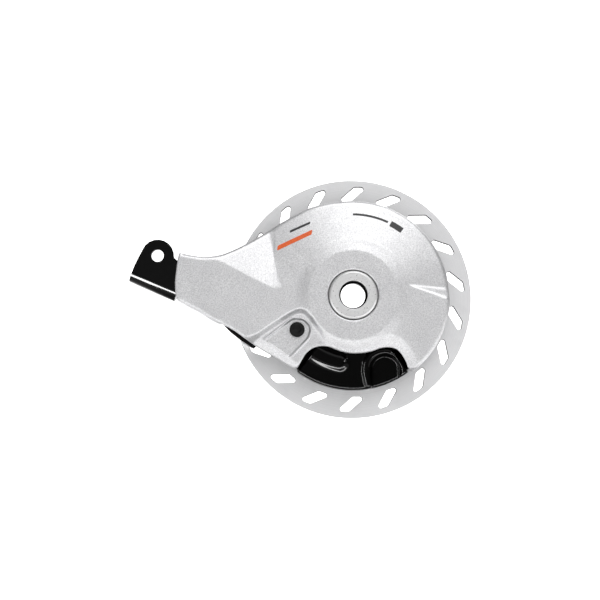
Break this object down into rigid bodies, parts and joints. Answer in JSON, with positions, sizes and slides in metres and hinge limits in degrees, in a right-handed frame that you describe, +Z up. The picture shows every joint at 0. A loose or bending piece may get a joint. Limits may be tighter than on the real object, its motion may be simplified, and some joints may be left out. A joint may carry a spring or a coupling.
{
  "type": "bicycle hub roller brake",
  "caption": "Cam-and-roller bicycle hub brake: silver pressed reaction arm and case, black cable-end bracket, black inner cover and a slotted cooling disc on the hub side.",
  "frame": {"origin": "axle axis at the outboard face of the axle bush", "axes": "+Y runs inboard along the axle towards the hub, +Z up, +X away from the reaction arm"},
  "size_m": [0.1849, 0.033, 0.13],
  "materials": {
    "silver_paint": "satin metallic",
    "black_paint": "gloss",
    "turned_steel": "fine turned",
    "spring_steel": "satin",
    "dark_rubber": "matt",
    "zinc_steel": "zinc plated",
    "drum_steel": "machined",
    "shoe_steel": "ground, greased",
    "aluminium": "fine satin"
  },
  "bodies": {
    "brake_unit": {"brake_arm_plate": "silver_paint", "arm_end_bracket": "black_paint", "axle_bush": "turned_steel", "bush_snap_ring": "spring_steel", "grease_port_plug": "dark_rubber", "return_spring": "spring_steel", "inner_cover": "black_paint", "anchor_plate": "zinc_steel", "cover_rivets": "zinc_steel", "dust_seal": "dark_rubber", "shoe_spring_outboard": "spring_steel", "shoe_spring_inboard": "spring_steel", "cam_thrust_washer": "turned_steel"},
    "cam": {"cam_ring": "turned_steel", "brake_link": "black_paint"},
    "cage": {"roller_cage": "zinc_steel"},
    "drum": {"brake_drum": "drum_steel", "cooling_disc": "aluminium", "disc_rivets": "zinc_steel", "hub_spline_ring": "drum_steel"},
    "roller_1": {"roller_1": "turned_steel"},
    "roller_2": {"roller_2": "turned_steel"},
    "roller_3": {"roller_3": "turned_steel"},
    "roller_4": {"roller_4": "turned_steel"},
    "roller_5": {"roller_5": "turned_steel"},
    "roller_6": {"roller_6": "turned_steel"},
    "shoe_1": {"brake_shoe_1": "shoe_steel"},
    "shoe_2": {"brake_shoe_2": "shoe_steel"},
    "shoe_3": {"brake_shoe_3": "shoe_steel"}
  },
  "joints": [
    {"name": "drum_spin", "type": "hinge", "parent": "brake_unit", "child": "drum", "pos_m": [0, 0.024, 0], "axis": [0, 1, 0], "continuous": true},
    {"name": "cam_turn", "type": "hinge", "parent": "brake_unit", "child": "cam", "pos_m": [0, 0.016, 0], "axis": [0, 1, 0], "range_deg": [0, 12], "stiffness_Nm_per_rad": 0.6, "springref_deg": -20.05, "deforming": ["return_spring"]},
    {"name": "cage_turn", "type": "hinge", "parent": "brake_unit", "child": "cage", "pos_m": [0, 0.022, 0], "axis": [0, 1, 0], "range_deg": [0, 5]},
    {"name": "roller_1_climb", "type": "hinge", "parent": "brake_unit", "child": "roller_1", "pos_m": [0.00256, 0.022, -0.00148], "axis": [0, 1, 0], "range_deg": [0, 5.05]},
    {"name": "roller_2_climb", "type": "hinge", "parent": "brake_unit", "child": "roller_2", "pos_m": [0.00256, 0.022, 0.00148], "axis": [0, 1, 0], "range_deg": [0, 5.05]},
    {"name": "roller_3_climb", "type": "hinge", "parent": "brake_unit", "child": "roller_3", "pos_m": [0, 0.022, 0.00296], "axis": [0, 1, 0], "range_deg": [0, 5.05]},
    {"name": "roller_4_climb", "type": "hinge", "parent": "brake_unit", "child": "roller_4", "pos_m": [-0.00256, 0.022, 0.00148], "axis": [0, 1, 0], "range_deg": [0, 5.05]},
    {"name": "roller_5_climb", "type": "hinge", "parent": "brake_unit", "child": "roller_5", "pos_m": [-0.00256, 0.022, -0.00148], "axis": [0, 1, 0], "range_deg": [0, 5.05]},
    {"name": "roller_6_climb", "type": "hinge", "parent": "brake_unit", "child": "roller_6", "pos_m": [0, 0.022, -0.00296], "axis": [0, 1, 0], "range_deg": [0, 5.05]},
    {"name": "shoe_1_slide", "type": "slide", "parent": "brake_unit", "child": "shoe_1", "axis": [0, 0, 1], "range_m": [0, 0.00031]},
    {"name": "shoe_2_slide", "type": "slide", "parent": "brake_unit", "child": "shoe_2", "axis": [-0.866, 0, -0.5], "range_m": [0, 0.00031]},
    {"name": "shoe_3_slide", "type": "slide", "parent": "brake_unit", "child": "shoe_3", "axis": [0.866, 0, -0.5], "range_m": [0, 0.00031]}
  ],
  "couplings": [
    {"joint": "cage_turn", "follows": "cam_turn", "ratio": 0.414},
    {"joint": "roller_1_climb", "follows": "cam_turn", "ratio": 0.4164},
    {"joint": "roller_2_climb", "follows": "cam_turn", "ratio": 0.4164},
    {"joint": "roller_3_climb", "follows": "cam_turn", "ratio": 0.4164},
    {"joint": "roller_4_climb", "follows": "cam_turn", "ratio": 0.4164},
    {"joint": "roller_5_climb", "follows": "cam_turn", "ratio": 0.4164},
    {"joint": "roller_6_climb", "follows": "cam_turn", "ratio": 0.4164},
    {"joint": "shoe_1_slide", "follows": "cam_turn", "m_per_rad": 0.001432},
    {"joint": "shoe_2_slide", "follows": "cam_turn", "m_per_rad": 0.001432},
    {"joint": "shoe_3_slide", "follows": "cam_turn", "m_per_rad": 0.001432}
  ]
}
